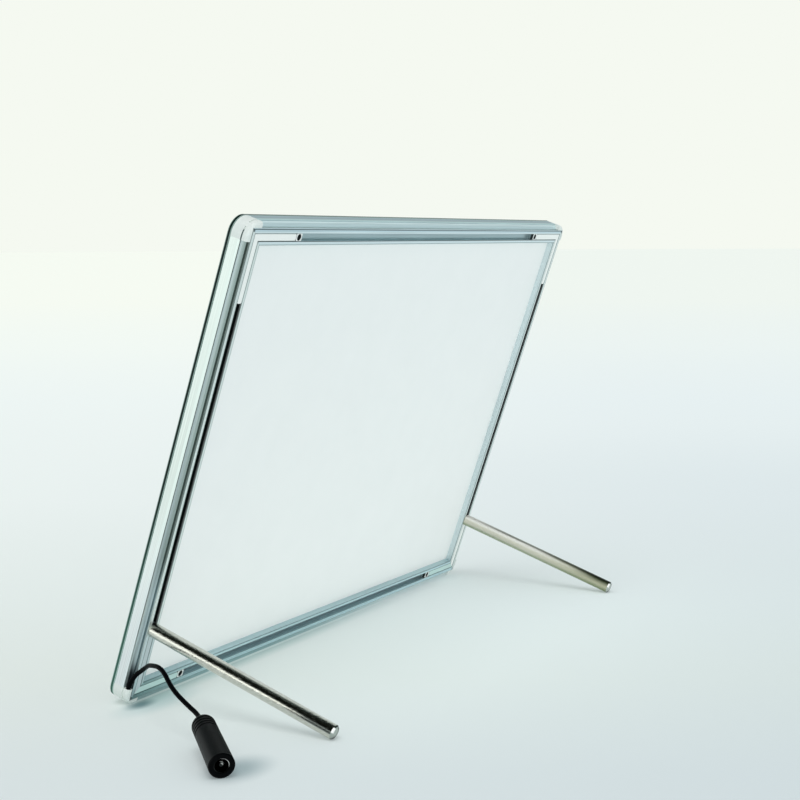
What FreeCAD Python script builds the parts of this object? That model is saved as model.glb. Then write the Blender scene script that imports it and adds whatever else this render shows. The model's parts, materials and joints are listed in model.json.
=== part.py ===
"""Slim table-top poster light box, standing on two screw-in rods, with a short supply lead.

The panel is modelled upright in its own frame and then leaned back onto its rods:
x runs along the width, z up from the bottom edge, and y is depth, 0 at the plane of the
back flanges and negative towards the display. All sizes are in millimetres.
"""
import FreeCAD, Part
import math
import os

V = FreeCAD.Vector

# ---------------------------------------------------------------- driving dimensions
WIDTH = 312.0                # overall width of the panel
HEIGHT = 220.0               # overall height of the panel, measured along its face
CORNER_R = 7.0               # rounding of the outer corners

FRONT_SHEET_T = 1.8          # clear front sheet
FRONT_CHAMFER = 0.3          # polished edge of the front sheet
MASK_T = 0.2                 # printed border mask behind the front sheet

# rail profile: depths from the back plane, widths from the outer edge
STEP_DEPTH = 3.0             # the side wall ends here and the cove begins
COVE_IN = 2.7                # how far the cove steps in
FLANGE_W = 2.2               # outer flange of the rear slot
SLOT_W = 3.4                 # opening of the rear slot
LIP_W = 1.7                  # inner lip of the rear slot
LIP_T = 1.0                  # thickness of flange and lip
SLOT_CAVITY_W = 5.2          # undercut of the rear slot
SLOT_CAVITY_T = 1.7
WEB_T = 0.7                  # floor between the slot and the sheet pocket
SIDE_WALL_T = 1.5
EDGE_R = 0.2                 # broken edges of the extrusion

FLANGE_UNDERCUT = (2.2, 3.35)            # widths between which the outer flange is undercut
FLANGE_UNDERCUT_DEPTHS = (-1.45, -0.35)
SHADOW_GROOVE = (0.15, 0.6)              # fine groove along the side wall's rear edge
SHADOW_GROOVE_D = 0.5

MITRE_GAP = 0.1              # hairline between two mitred rails
MITRE_HOLE_R = 0.6           # small hole where two flanges meet
MITRE_HOLE_AT = 3.7          # from both outer edges

# corner caps and corner keys
CAP_LEN = 8.5                # how far a cap runs along each rail
CAP_EDGE_R = 1.5             # rounding of a cap's rear edge, which is also the foot
CAP_CLEAR = 0.05
CAP_BLOCK_CUT = 13.8         # the cap's inner chamfer is the line a + b = this
CAP_GROOVE = (-3.15, -2.55)  # depths of the groove that goes on around the cap
CAP_GROOVE_D = 0.5
CAP_GROOVE_FROM = 2.9        # it stops short of the corner by this much
TONGUE_LEN = 4.0
TONGUE_T = 1.2
TONGUE_W = 3.6
KEY_ARM_END = 34.5           # end of a key's arm in a short rail, from the outer corner
KEY_LONG_ARM_END = 35.3      # end of its arm in a long rail
KEY_CLEAR = 0.1
KEY_NECK_R = 1.0             # rounding of an arm's end in the opening

# sheets that lie in the pocket, from the back
BACK_PANEL_T = 1.0
REFLECTOR_T = 0.2
GUIDE_T = 2.5
DIFFUSER_T = 0.7
FILM_T = 0.2
FILM_INSET_X = 7.5           # poster edge from the outer edge, which leaves 297 mm by 210 mm
FILM_INSET_Z = 5.0
FILM_CORNER_R = 3.0
SHEET_INSET = 4.0            # sheet edge from the outer edge
SHEET_CORNER_GAP = 1.2       # from a sheet's cut corner to the cap

# border mask
MASK_INSET = 0.4
WINDOW_MARGIN = 4.0          # how far the mask overlaps the poster on each side
WINDOW_R = 1.0

# magnets
MAGNET_R = 2.0
MAGNET_T = 1.5
MAGNET_CLEAR = 0.05
MAGNET_SETBACK = 0.1         # below the frame's front
MAGNET_FROM_EDGE = 4.9
DISC_T = 1.0                 # steel disc in the front sheet's mask side

# light source
BOARD_T = 0.8
BOARD_W = 3.4
BOARD_END_GAP = 1.0          # from a cap's tongue to the board
CHIP_L = 3.5
CHIP_W = 2.8
CHIP_T = 0.7
CHIP_COUNT = 24
PAD_L = 3.5                  # solder pads at a board's end
RIBBON_W = 2.2               # flat two-wire leads to and between the boards
RIBBON_T = 0.35
RIBBON_CLEAR = 0.1

# slot nuts and legs
NUT_L = 4.6
NUT_CLEAR = 0.1
NUT_T = 1.5
NUT_BOSS_DROP = 0.1          # the boss stays this far below the lips
NUT_BOSS_SHORT = 0.3         # the boss ends this far before the base does
NUT_CORNER_R = 0.4           # of the boss
THREAD_R = 1.5
STUD_CLEAR = 0.05
STUD_L = 2.4
SPARE_NUT_AT = 37.7          # spare nuts in the long rails, from the outer edge
ROD_R = 3.25
ROD_L = 97.0
ROD_CHAMFER = 0.6
ROD_BASE_CHAMFER = 0.2
STUD_CHAMFER = 0.3

# supply lead and its socket
CABLE_R = 1.0
CABLE_BORE_CLEAR = 0.05
CABLE_BORE_DEPTH = 3.0
CABLE_IN = 1.3               # cable centre from the outer edge and from the back plane
SOCKET_L = 38.0
SOCKET_MOUTH_R = 5.25
SOCKET_REAR_R = 4.9
SOCKET_DOME_R = 3.8          # rounding of the cable end
SOCKET_RINGS_AT = 4.0
SOCKET_RING_COUNT = 4
SOCKET_RING_PITCH = 2.1
SOCKET_RING_W = 0.8
SOCKET_RING_D = 0.4
SOCKET_RING_DRAFT = 0.15
SOCKET_LIP = 0.4             # chamfer of the mouth's rim
SOCKET_BORE_R = 3.1
SOCKET_BORE_DEPTH = 11.5
SLEEVE_CLEAR = 0.03
SLEEVE_R = 2.8               # inside of the contact sleeve
SLEEVE_SETBACK = 0.5
INSULATOR_T = 1.5
PIN_R = 1.25
PIN_SHANK_R = 0.7            # where the pin passes through the insulator
PIN_SETBACK = 1.2
PIN_TIP = 0.5                # cone at the pin's tip
SOCKET_TILT = 8.4            # degrees, rear end up
SOCKET_HEADING = 47.6        # degrees from +x towards +y, the way the mouth points
SOCKET_MOUTH_OUT = 53.45     # mouth from the panel's right side
SOCKET_MOUTH_Y = 43.2
SOCKET_FLOOR_GAP = 0.05

# route of the supply lead after it has left the cap, in the final frame, with x counted
# from the panel's right side
CABLE_ROUTE = (
    (-0.4, -35.1, 19.3),
    (6.8, -27.5, 23.2),
    (11.7, -17.0, 24.7),
    (17.2, -7.6, 18.1),
    (20.1, 2.4, 13.6),
)
CABLE_FIRST_RUN = 7.9        # straight runs at the cap and at the socket
CABLE_LAST_RUN = 6.6

# ---------------------------------------------------------------- derived places
SHEETS_T = BACK_PANEL_T + REFLECTOR_T + GUIDE_T + DIFFUSER_T + FILM_T
SLOT_IN = COVE_IN + FLANGE_W
SLOT_OUT = SLOT_IN + SLOT_W
SLOT_MID = SLOT_IN + SLOT_W / 2
RAIL_W = SLOT_OUT + LIP_W
CAVITY_FLOOR = -(LIP_T + SLOT_CAVITY_T)
POCKET_TOP = CAVITY_FLOOR - WEB_T
FRAME_FRONT = POCKET_TOP - SHEETS_T
FILM_W = WIDTH - 2 * FILM_INSET_X
FILM_H = HEIGHT - 2 * FILM_INSET_Z
GUIDE_MID = POCKET_TOP - BACK_PANEL_T - REFLECTOR_T - GUIDE_T / 2
LEG_HEIGHT = KEY_ARM_END + NUT_L / 2
TOTAL_DEPTH = -FRAME_FRONT + MASK_T + FRONT_SHEET_T

# corners in turn, each with the rail that starts there
CORNERS = ("bottom_left", "top_left", "top_right", "bottom_right")
RAILS = ("bottom_rail", "left_rail", "top_rail", "right_rail")
CORNER_X = (-WIDTH / 2, -WIDTH / 2, WIDTH / 2, WIDTH / 2)
CORNER_Z = (0.0, HEIGHT, HEIGHT, 0.0)


def lean_angle():
    """Angle at which the caps' rounded feet and both rod tips touch the table."""
    rise = LEG_HEIGHT - ROD_R - CAP_EDGE_R
    reach = ROD_L - ROD_CHAMFER + CAP_EDGE_R
    return math.acos(-CAP_EDGE_R / math.hypot(rise, reach)) - math.atan2(reach, rise)


LEAN = lean_angle()
FOOT_Z = CAP_EDGE_R * (math.cos(LEAN) + math.sin(LEAN) - 1)
FRONT_Y = FRONT_CHAMFER * math.sin(LEAN) - TOTAL_DEPTH * math.cos(LEAN)
TIP_Y = (LEG_HEIGHT + ROD_R - ROD_CHAMFER) * math.sin(LEAN) + ROD_L * math.cos(LEAN)
STANCE = FreeCAD.Placement(V(0, -(FRONT_Y + TIP_Y) / 2, -FOOT_Z),
                           FreeCAD.Rotation(V(1, 0, 0), -math.degrees(LEAN)))


# ---------------------------------------------------------------- drawing helpers
def rounded_wire(corners, place):
    """Closed wire through (p, q, radius) corners, each rounded; place maps (p, q) to 3-D."""
    edges = []
    count = len(corners)
    starts, ends, middles = [], [], []
    for i, (p, q, radius) in enumerate(corners):
        here = V(p, q, 0)
        before = V(corners[i - 1][0], corners[i - 1][1], 0) - here
        after = V(corners[(i + 1) % count][0], corners[(i + 1) % count][1], 0) - here
        before.normalize()
        after.normalize()
        half = before.getAngle(after) / 2
        back = radius / math.tan(half)
        bisector = (before + after).normalize()
        starts.append(here + before * back)
        ends.append(here + after * back)
        middles.append(here + bisector * (radius / math.sin(half) - radius))
    for i in range(count):
        if corners[i][2] > 0:
            points = [place(point.x, point.y) for point in (starts[i], middles[i], ends[i])]
            edges.append(Part.Arc(*points).toShape())
        a, b = place(ends[i].x, ends[i].y), place(starts[(i + 1) % count].x, starts[(i + 1) % count].y)
        if a.distanceToPoint(b) > 1e-6:
            edges.append(Part.LineSegment(a, b).toShape())
    return Part.Wire(edges)


def plate(corners, y_back, y_front):
    """Plate whose outline lies in the x-z plane, between two depths."""
    face = Part.Face(rounded_wire(corners, lambda p, q: V(p, y_back, q)))
    return face.extrude(V(0, y_front - y_back, 0))


def box(x0, x1, y0, y1, z0, z1):
    return Part.makeBox(x1 - x0, y1 - y0, z1 - z0, V(x0, y0, z0))


def rod(radius, start, end):
    axis = end - start
    return Part.makeCylinder(radius, axis.Length, start, axis)


def at_corner(shape, index):
    """Copy of a shape drawn for the bottom left corner, turned to another corner."""
    turned = shape.copy()
    turned.Placement = FreeCAD.Placement(V(CORNER_X[index], 0, CORNER_Z[index]),
                                         FreeCAD.Rotation(V(0, 1, 0), 90 * index))
    return turned


def revolve_about_x(corners):
    """Solid of revolution about the x axis from (x, radius, rounding) corners."""
    face = Part.Face(rounded_wire(corners, lambda p, q: V(p, 0, q)))
    return face.revolve(V(0, 0, 0), V(1, 0, 0), 360)


def group(shapes):
    return Part.makeCompound(shapes)


# ---------------------------------------------------------------- rails
def rail_profile():
    """Section of the extrusion as (inwards, depth, rounding) corners."""
    cavity_in = SLOT_MID - SLOT_CAVITY_W / 2
    cavity_out = SLOT_MID + SLOT_CAVITY_W / 2
    cove_r = COVE_IN - EDGE_R
    return (
        (0, FRAME_FRONT, EDGE_R), (0, -STEP_DEPTH, EDGE_R / 2), (COVE_IN, -STEP_DEPTH, cove_r),
        (COVE_IN, 0, EDGE_R), (SLOT_IN, 0, EDGE_R / 2), (SLOT_IN, -LIP_T, 0),
        (cavity_in, -LIP_T, 0), (cavity_in, CAVITY_FLOOR, 0),
        (cavity_out, CAVITY_FLOOR, 0), (cavity_out, -LIP_T, 0),
        (SLOT_OUT, -LIP_T, 0), (SLOT_OUT, 0, EDGE_R / 2), (RAIL_W, 0, EDGE_R),
        (RAIL_W, POCKET_TOP, 0), (SIDE_WALL_T, POCKET_TOP, 0), (SIDE_WALL_T, FRAME_FRONT, 0),
    )


def end_cutter():
    """What is cut from a rail's start: the mitre, the clipped flange tip and the cap's seat."""
    far, low, high = RAIL_W + 2, FRAME_FRONT - 1, 1.0
    gap = MITRE_GAP / 2 * math.sqrt(2)
    mitre = plate(((-far, -far, 0), (gap - 1, -1, 0), (gap + far, far, 0), (-far, far, 0)), high, low)
    seat_side = box(-1, CAP_LEN, low, high, -1, COVE_IN)
    seat_front = box(-1, CAP_LEN, low, POCKET_TOP, -1, far)
    at = MITRE_HOLE_AT
    hole = rod(MITRE_HOLE_R, V(at, high, at), V(at, POCKET_TOP - 1, at))
    return mitre.fuse([seat_side, seat_front, hole])


def rail(length):
    """Rail along x from its start corner, with its section standing inwards along z."""
    section = Part.Face(rounded_wire(rail_profile(), lambda p, q: V(0, q, p)))
    bar = section.extrude(V(length, 0, 0))
    undercut = box(-1, length + 1, *FLANGE_UNDERCUT_DEPTHS, *FLANGE_UNDERCUT)
    groove = box(-1, length + 1, -STEP_DEPTH - SHADOW_GROOVE_D, -STEP_DEPTH + 1, *SHADOW_GROOVE)
    start = end_cutter()
    end = start.mirror(V(length / 2, 0, 0), V(1, 0, 0))
    return bar.cut([undercut, groove, start, end])


# ---------------------------------------------------------------- corners
def cap_groove():
    """Groove around the cap's outer wall, left out at the very corner."""
    far = CAP_LEN + 1
    outer = plate(((-1, -1, 0), (far, -1, 0), (far, far, 0), (-1, far, 0)), *CAP_GROOVE)
    inset = CAP_GROOVE_D
    core = plate(((inset, inset, CORNER_R - inset), (far + 1, inset, 0), (far + 1, far + 1, 0),
                  (inset, far + 1, 0)), 0, FRAME_FRONT)
    corner = box(-2, CAP_GROOVE_FROM, FRAME_FRONT, 0, -2, CAP_GROOVE_FROM)
    return outer.cut([core, corner])


def corner_cap():
    """Moulded cap: rounded corner, fingers over the coves, magnet seat and two tongues."""
    outline = ((0, 0, CORNER_R), (CAP_LEN, 0, 0), (CAP_LEN, CAP_LEN, 0), (0, CAP_LEN, 0))
    cap = plate(outline, 0, FRAME_FRONT)
    rim = [edge for edge in cap.Edges
           if edge.BoundBox.YMin > -0.01 and min(edge.BoundBox.XMin, edge.BoundBox.ZMin) < 0.01
           and max(edge.BoundBox.XMin, edge.BoundBox.ZMin) < CAP_LEN - 0.01]
    cap = cap.makeFillet(CAP_EDGE_R, rim)
    far = CAP_LEN + 1
    seat_top = POCKET_TOP - CAP_CLEAR
    inner = COVE_IN - CAP_CLEAR
    rail_seat = box(inner, far, seat_top, 1, inner, far)
    cut = CAP_BLOCK_CUT
    chamfer = plate(((cut - far, far, 0), (far, cut - far, 0), (far, far, 0)), seat_top + 1, FRAME_FRONT - 1)
    tongue_in = SIDE_WALL_T + CAP_CLEAR
    tongue_mid = (FRAME_FRONT + POCKET_TOP) / 2
    tongue = box(CAP_LEN - 1, CAP_LEN + TONGUE_LEN, tongue_mid - TONGUE_W / 2,
                 tongue_mid + TONGUE_W / 2, tongue_in, tongue_in + TONGUE_T)
    tongue_turned = box(tongue_in, tongue_in + TONGUE_T, tongue_mid - TONGUE_W / 2,
                        tongue_mid + TONGUE_W / 2, CAP_LEN - 1, CAP_LEN + TONGUE_LEN)
    pocket_r = MAGNET_R + MAGNET_CLEAR
    pocket_floor = FRAME_FRONT + MAGNET_SETBACK + MAGNET_T
    magnet_seat = rod(pocket_r, V(MAGNET_FROM_EDGE, FRAME_FRONT - 1, MAGNET_FROM_EDGE),
                      V(MAGNET_FROM_EDGE, pocket_floor, MAGNET_FROM_EDGE))
    cap = cap.cut([rail_seat, chamfer, magnet_seat, cap_groove()])
    return cap.fuse([tongue, tongue_turned]).removeSplitter()


def cable_bore():
    """Blind bore for the supply lead, in the end of the finger that runs up from the corner."""
    end = V(CAP_LEN + 1, -CABLE_IN, CABLE_IN)
    return rod(CABLE_R + CABLE_BORE_CLEAR, end, end - V(1 + CABLE_BORE_DEPTH, 0, 0))


def key_outline(inner, outer, end_r, ends):
    x_end, z_end = ends
    return ((inner, inner, 0), (x_end, inner, end_r), (x_end, outer, end_r),
            (outer, outer, 0), (outer, z_end, end_r), (inner, z_end, end_r))


def corner_key(index):
    """L-shaped key that lies in two rear slots and holds their mitre together."""
    ends = (KEY_ARM_END, KEY_LONG_ARM_END) if index % 2 else (KEY_LONG_ARM_END, KEY_ARM_END)
    step = -LIP_T - KEY_CLEAR
    neck = plate(key_outline(SLOT_IN + KEY_CLEAR, SLOT_OUT - KEY_CLEAR, KEY_NECK_R, ends), -KEY_CLEAR, step)
    half = SLOT_CAVITY_W / 2 - KEY_CLEAR
    wings = plate(key_outline(SLOT_MID - half, SLOT_MID + half, 0, ends), step, CAVITY_FLOOR + KEY_CLEAR)
    return neck.fuse(wings).removeSplitter()


def magnet():
    back = FRAME_FRONT + MAGNET_SETBACK + MAGNET_T
    at = MAGNET_FROM_EDGE
    return rod(MAGNET_R, V(at, back, at), V(at, back - MAGNET_T, at))


# ---------------------------------------------------------------- sheets
def cut_corner_sheet(y_back, thickness):
    """Sheet that fills the pocket, with its corners cut off to clear the caps."""
    cut = CAP_BLOCK_CUT + SHEET_CORNER_GAP * math.sqrt(2)
    left, right = -WIDTH / 2 + SHEET_INSET, WIDTH / 2 - SHEET_INSET
    low, high = SHEET_INSET, HEIGHT - SHEET_INSET
    x_cut, z_cut = WIDTH / 2 - cut + SHEET_INSET, cut - SHEET_INSET
    outline = ((-x_cut, low, 0), (x_cut, low, 0), (right, z_cut, 0), (right, HEIGHT - z_cut, 0),
               (x_cut, high, 0), (-x_cut, high, 0), (left, HEIGHT - z_cut, 0), (left, z_cut, 0))
    return plate(outline, y_back, y_back - thickness)


def centred_outline(width, height, radius):
    low = (HEIGHT - height) / 2
    return ((-width / 2, low, radius), (width / 2, low, radius),
            (width / 2, low + height, radius), (-width / 2, low + height, radius))


def sheet_stack():
    """The sheets behind the front, from the white back panel to the poster."""
    parts = {}
    y = POCKET_TOP
    for name, thickness in (("back_panel", BACK_PANEL_T), ("reflector_sheet", REFLECTOR_T),
                            ("light_guide", GUIDE_T), ("diffuser_sheet", DIFFUSER_T)):
        parts[name] = cut_corner_sheet(y, thickness)
        y -= thickness
    parts["poster_film"] = plate(centred_outline(FILM_W, FILM_H, FILM_CORNER_R), y, y - FILM_T)
    return parts


def front_parts():
    """Clear front sheet, its printed border mask and the steel discs let into it."""
    back = FRAME_FRONT - MASK_T
    sheet = plate(centred_outline(WIDTH, HEIGHT, CORNER_R), back, back - FRONT_SHEET_T)
    front_edges = [edge for edge in sheet.Edges if edge.BoundBox.YMax < back - FRONT_SHEET_T + 0.01]
    sheet = sheet.makeChamfer(FRONT_CHAMFER, front_edges)
    mask = plate(centred_outline(WIDTH - 2 * MASK_INSET, HEIGHT - 2 * MASK_INSET, CORNER_R - MASK_INSET),
                 FRAME_FRONT, back)
    window = centred_outline(FILM_W - 2 * WINDOW_MARGIN, FILM_H - 2 * WINDOW_MARGIN, WINDOW_R)
    mask = mask.cut(plate(window, FRAME_FRONT + 1, back - 1))
    at = MAGNET_FROM_EDGE
    seat = rod(MAGNET_R + MAGNET_CLEAR, V(at, FRAME_FRONT + 1, at),
               V(at, FRAME_FRONT - DISC_T - MAGNET_CLEAR, at))
    disc = rod(MAGNET_R, V(at, FRAME_FRONT, at), V(at, FRAME_FRONT - DISC_T, at))
    seats = [at_corner(seat, i) for i in range(4)]
    return {"front_sheet": sheet.cut(seats), "border_mask": mask.cut(seats),
            "front_discs": group([at_corner(disc, i) for i in range(4)])}


# ---------------------------------------------------------------- light source
def light_bar():
    """Board and chips along a long rail, drawn for the bottom one."""
    end = CAP_LEN + TONGUE_LEN + BOARD_END_GAP
    low, high = GUIDE_MID - BOARD_W / 2, GUIDE_MID + BOARD_W / 2
    board = box(end, WIDTH - end, low, high, SIDE_WALL_T, SIDE_WALL_T + BOARD_T)
    pitch = (WIDTH - 2 * end) / CHIP_COUNT
    seat = SIDE_WALL_T + BOARD_T
    chips = []
    for i in range(CHIP_COUNT):
        x = end + (i + 0.5) * pitch
        chips.append(box(x - CHIP_L / 2, x + CHIP_L / 2, GUIDE_MID - CHIP_W / 2,
                         GUIDE_MID + CHIP_W / 2, seat, seat + CHIP_T))
    return board, group(chips)


def tube(radius, points):
    """Tube along straight runs joined by tangent arcs, as wide as the runs allow."""
    edges, radii = [], []
    at = points[0]
    for i in range(1, len(points) - 1):
        back = points[i - 1] - points[i]
        on = points[i + 1] - points[i]
        shorter = min(back.Length, on.Length)
        back.normalize()
        on.normalize()
        half_turn = (math.pi - back.getAngle(on)) / 2
        reach = 0.45 * shorter
        radii.append(reach / math.tan(half_turn))
        start, end = points[i] + back * reach, points[i] + on * reach
        bisector = (back + on).normalize()
        middle = points[i] + bisector * (radii[-1] / math.cos(half_turn) - radii[-1])
        edges.append(Part.LineSegment(at, start).toShape())
        edges.append(Part.Arc(start, middle, end).toShape())
        at = end
    edges.append(Part.LineSegment(at, points[-1]).toShape())
    path = Part.Wire(edges)
    ring = Part.Wire([Part.makeCircle(radius, points[0], points[1] - points[0])])
    solid = path.makePipeShell([ring], True, False)
    return solid, path.Length, radii


def ribbon(route):
    """Flat lead along (x, z) points, as wide in depth as RIBBON_W about the light guide."""
    back, front = GUIDE_MID + RIBBON_W / 2, GUIDE_MID - RIBBON_W / 2
    spans = []
    for (x0, z0), (x1, z1) in zip(route, route[1:]):
        length = math.hypot(x1 - x0, z1 - z0)
        side_x = -(z1 - z0) / length * RIBBON_T / 2
        side_z = (x1 - x0) / length * RIBBON_T / 2
        spans.append(plate(((x0 + side_x, z0 + side_z, 0), (x1 + side_x, z1 + side_z, 0),
                            (x1 - side_x, z1 - side_z, 0), (x0 - side_x, z0 - side_z, 0)), back, front))
    bends = [rod(RIBBON_T / 2, V(x, back, z), V(x, front, z)) for x, z in route[1:-1]]
    return spans[0].fuse(spans[1:] + bends).removeSplitter()


def leads():
    """Lead from the cap with the cable to the lower board, and the link to the upper one."""
    left, right = -WIDTH / 2, WIDTH / 2
    board_end = CAP_LEN + TONGUE_LEN + BOARD_END_GAP
    pad = SIDE_WALL_T + BOARD_T + RIBBON_T / 2
    tongue_in = SIDE_WALL_T + CAP_CLEAR + TONGUE_T
    over_tongue = tongue_in + RIBBON_CLEAR + RIBBON_T / 2
    on_wall = SIDE_WALL_T + RIBBON_CLEAR + RIBBON_T / 2
    across = CAP_BLOCK_CUT + SHEET_CORNER_GAP / math.sqrt(2)
    clear_of_cap = CAP_LEN + RIBBON_CLEAR
    supply = [(right - clear_of_cap, over_tongue), (right - board_end + BOARD_END_GAP, over_tongue),
              (right - board_end - PAD_L, pad)]
    climb = ((board_end + PAD_L, pad), (board_end - BOARD_END_GAP, over_tongue),
             (across - over_tongue, over_tongue), (over_tongue, across - over_tongue),
             (over_tongue, board_end), (on_wall, board_end + PAD_L))
    link = [(left + x, z) for x, z in climb]
    link += [(left + x, HEIGHT - z) for x, z in reversed(climb)]
    return {"supply_ribbon": ribbon(supply), "link_ribbon": ribbon(link)}


# ---------------------------------------------------------------- slot nuts and legs
def nut_outline(along, across, corner_r):
    return ((-along, -across, corner_r), (along, -across, corner_r),
            (along, across, corner_r), (-along, across, corner_r))


def slot_nut():
    """Threaded nut for the rear slot, centred on the origin, slot running along x."""
    half = SLOT_CAVITY_W / 2 - NUT_CLEAR
    base_top = -LIP_T - NUT_CLEAR / 2
    base = plate(nut_outline(NUT_L / 2, half, 0), base_top, base_top - NUT_T)
    boss = plate(nut_outline(NUT_L / 2 - NUT_BOSS_SHORT, SLOT_W / 2 - NUT_CLEAR, NUT_CORNER_R),
                 -NUT_BOSS_DROP, base_top)
    thread = rod(THREAD_R, V(0, 1, 0), V(0, base_top - NUT_T - 1, 0))
    return base.fuse(boss).cut(thread).removeSplitter()


def leg_rod():
    """Round leg with its threaded stud, standing on the back plane at the origin."""
    stud_r = THREAD_R - STUD_CLEAR
    outline = ((-STUD_L, 0, 0), (-STUD_L, stud_r - STUD_CHAMFER, 0), (-STUD_L + STUD_CHAMFER, stud_r, 0),
               (0, stud_r, 0), (0, ROD_R - ROD_BASE_CHAMFER, 0), (ROD_BASE_CHAMFER, ROD_R, 0),
               (ROD_L - ROD_CHAMFER, ROD_R, 0),
               (ROD_L, ROD_R - ROD_CHAMFER, 0), (ROD_L, 0, 0))
    leg = revolve_about_x(outline)
    leg.rotate(V(0, 0, 0), V(0, 0, 1), 90)
    return leg


def moved(shape, x, z, turned=False):
    copy = shape.copy()
    if turned:
        copy.rotate(V(0, 0, 0), V(0, 1, 0), 90)
    copy.translate(V(x, 0, z))
    return copy


def nuts_and_legs():
    parts = {}
    for side, x in (("left", -WIDTH / 2 + SLOT_MID), ("right", WIDTH / 2 - SLOT_MID)):
        parts["leg_nut_" + side] = moved(slot_nut(), x, LEG_HEIGHT, turned=True)
        parts["leg_rod_" + side] = moved(leg_rod(), x, LEG_HEIGHT)
    for name, x_edge, z_edge in zip(CORNERS, CORNER_X, CORNER_Z):
        x = x_edge - math.copysign(SPARE_NUT_AT, x_edge)
        z = abs(z_edge - SLOT_MID)
        parts["spare_nut_" + name] = moved(slot_nut(), x, z)
    return parts


# ---------------------------------------------------------------- supply lead and socket
def socket_parts():
    """In-line power socket along x, its cable end at the origin and its mouth at SOCKET_L."""
    taper = (SOCKET_MOUTH_R - SOCKET_REAR_R) / (SOCKET_L - SOCKET_RINGS_AT)
    outline = [(0, 0, 0), (0, SOCKET_REAR_R, SOCKET_DOME_R)]
    for i in range(SOCKET_RING_COUNT):
        at = SOCKET_RINGS_AT + i * SOCKET_RING_PITCH
        skin = SOCKET_REAR_R + taper * (at - SOCKET_RINGS_AT)
        root = skin - SOCKET_RING_D
        outline += [(at, skin, 0), (at + SOCKET_RING_DRAFT, root, 0), (at + SOCKET_RING_W, root, 0),
                    (at + SOCKET_RING_W + SOCKET_RING_DRAFT, skin, 0)]
    floor = SOCKET_L - SOCKET_BORE_DEPTH
    outline += [(SOCKET_L - SOCKET_LIP, SOCKET_MOUTH_R, 0), (SOCKET_L, SOCKET_MOUTH_R - SOCKET_LIP, 0),
                (SOCKET_L, SOCKET_BORE_R, 0),
                (floor, SOCKET_BORE_R, 0), (floor, 0, 0)]
    sleeve_out = SOCKET_BORE_R - SLEEVE_CLEAR
    sleeve_end = SOCKET_L - SLEEVE_SETBACK
    top = floor + INSULATOR_T
    sleeve = ((top, SLEEVE_R, 0), (top, sleeve_out, 0), (sleeve_end, sleeve_out, 0),
              (sleeve_end, SLEEVE_R, 0))
    insulator = ((floor, PIN_SHANK_R, 0), (floor, sleeve_out, 0), (top, sleeve_out, 0),
                 (top, PIN_SHANK_R, 0))
    pin_end = SOCKET_L - PIN_SETBACK
    pin = ((floor, 0, 0), (floor, PIN_SHANK_R, 0), (top, PIN_SHANK_R, 0), (top, PIN_R, 0),
           (pin_end - PIN_TIP, PIN_R, 0), (pin_end, PIN_R - PIN_TIP, 0), (pin_end, 0, 0))
    return {"socket_housing": revolve_about_x(outline), "socket_sleeve": revolve_about_x(sleeve),
            "socket_insulator": revolve_about_x(insulator), "socket_pin": revolve_about_x(pin)}


def socket_placement():
    """The socket lies with its mouth's rim on the table and its cable end raised."""
    tilt, heading = math.radians(SOCKET_TILT), math.radians(SOCKET_HEADING)
    axis = V(math.cos(tilt) * math.cos(heading), math.cos(tilt) * math.sin(heading), -math.sin(tilt))
    rim_height = SOCKET_FLOOR_GAP + SOCKET_MOUTH_R * math.cos(tilt) - SOCKET_LIP * math.sin(tilt)
    mouth = V(WIDTH / 2 + SOCKET_MOUTH_OUT, SOCKET_MOUTH_Y, rim_height)
    turn = FreeCAD.Rotation(V(0, 0, 1), SOCKET_HEADING).multiply(FreeCAD.Rotation(V(0, 1, 0), SOCKET_TILT))
    return FreeCAD.Placement(mouth - axis * SOCKET_L, turn), axis


def cable_points(place, axis):
    """The cable's whole route: out of the cap, over its arch and into the socket."""
    corner = len(CORNERS) - 1
    inside = STANCE.multVec(V(CORNER_X[corner] - CABLE_IN, -CABLE_IN, CAP_LEN - CABLE_BORE_DEPTH))
    outside = STANCE.Rotation.multVec(V(0, 0, CABLE_FIRST_RUN)) + inside
    arch = [V(WIDTH / 2 + out, y, z) for out, y, z in CABLE_ROUTE]
    rear = place.Base
    return [inside, outside] + arch + [rear - axis * CABLE_LAST_RUN, rear]


# ---------------------------------------------------------------- assembly
def build():
    panel = {}
    for i, name in enumerate(RAILS):
        panel[name] = at_corner(rail(HEIGHT if i % 2 else WIDTH), i)
    for i, name in enumerate(CORNERS):
        cap = corner_cap()
        if name == "bottom_right":
            cap = cap.cut(cable_bore())
        panel["corner_cap_" + name] = at_corner(cap, i)
        panel["corner_key_" + name] = at_corner(corner_key(i), i)
    panel["cap_magnets"] = group([at_corner(magnet(), i) for i in range(4)])
    panel.update(sheet_stack())
    panel.update(front_parts())
    board, chips = light_bar()
    for name, index in (("bottom", 0), ("top", 2)):
        panel["light_board_" + name] = at_corner(board, index)
        panel["light_chips_" + name] = at_corner(chips, index)
    panel.update(leads())
    panel.update(nuts_and_legs())

    parts = {}
    for name, shape in panel.items():
        standing = shape.copy()
        standing.Placement = STANCE.multiply(shape.Placement)
        parts[name] = standing

    place, axis = socket_placement()
    for name, shape in socket_parts().items():
        shape.Placement = place
        parts[name] = shape
    cable, length, radii = tube(CABLE_R, cable_points(place, axis))
    parts["supply_cable"] = cable
    print("lean", round(math.degrees(LEAN), 3), "stance", STANCE.Base)
    print("cable length", round(length, 2), "radii", [round(r, 1) for r in radii],
          "volume", round(cable.Volume, 2), "section x length", round(math.pi * CABLE_R ** 2 * length, 2))
    return parts


def main():
    os.makedirs("parts", exist_ok=True)
    for name, shape in build().items():
        if not shape.isValid():
            print("not valid:", name)
        shape.exportStep("parts/" + name + ".step")


main()
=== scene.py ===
"""Looks of the slim poster light box: finishes, supply lead, floor, light and camera."""
import json
import math

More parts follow.
